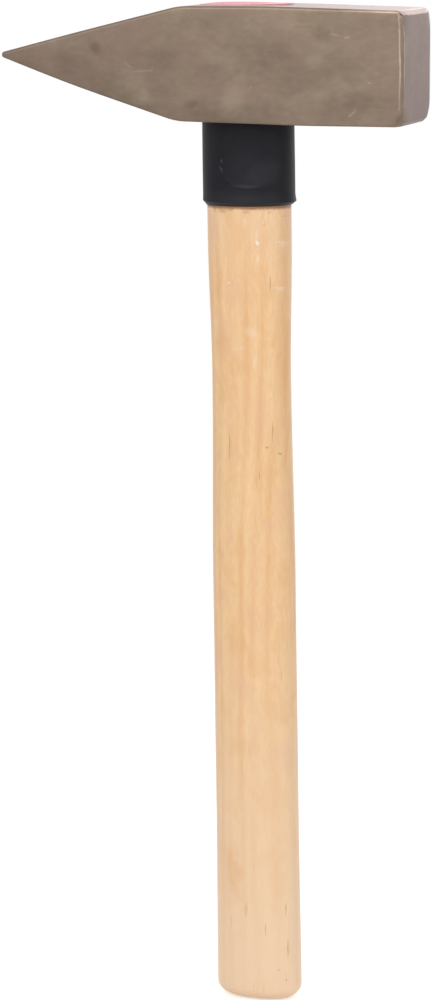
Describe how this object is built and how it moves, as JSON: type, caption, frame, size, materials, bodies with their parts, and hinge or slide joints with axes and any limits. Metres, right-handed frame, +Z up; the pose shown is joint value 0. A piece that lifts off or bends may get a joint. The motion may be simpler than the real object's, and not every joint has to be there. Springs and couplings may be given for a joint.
{
  "type": "machinist hammer",
  "caption": "Cross-peen machinist hammer: bronze head with a square striking face and a wedge peen, wedged on an oval wooden handle with a rubber sleeve under the head.",
  "frame": {"origin": "on the handle's axis in the middle of the hand grip, 90 mm above the butt", "axes": "+Z up the handle towards the head, +X towards the striking face, -X towards the peen, -Y towards the cheek that the picture shows"},
  "size_m": [0.1541, 0.042, 0.3832],
  "materials": {
    "bronze": "fine ground and dulled",
    "ash": "clear lacquered",
    "rubber": "satin moulded",
    "beech": "sawn",
    "brass": "turned",
    "red_lacquer": "dipped gloss"
  },
  "bodies": {
    "root": {"head": "bronze", "handle": "ash", "handle_sleeve": "rubber", "wooden_wedge": "beech", "ring_wedge": "brass", "eye_lacquer": "red_lacquer"}
  },
  "joints": []
}
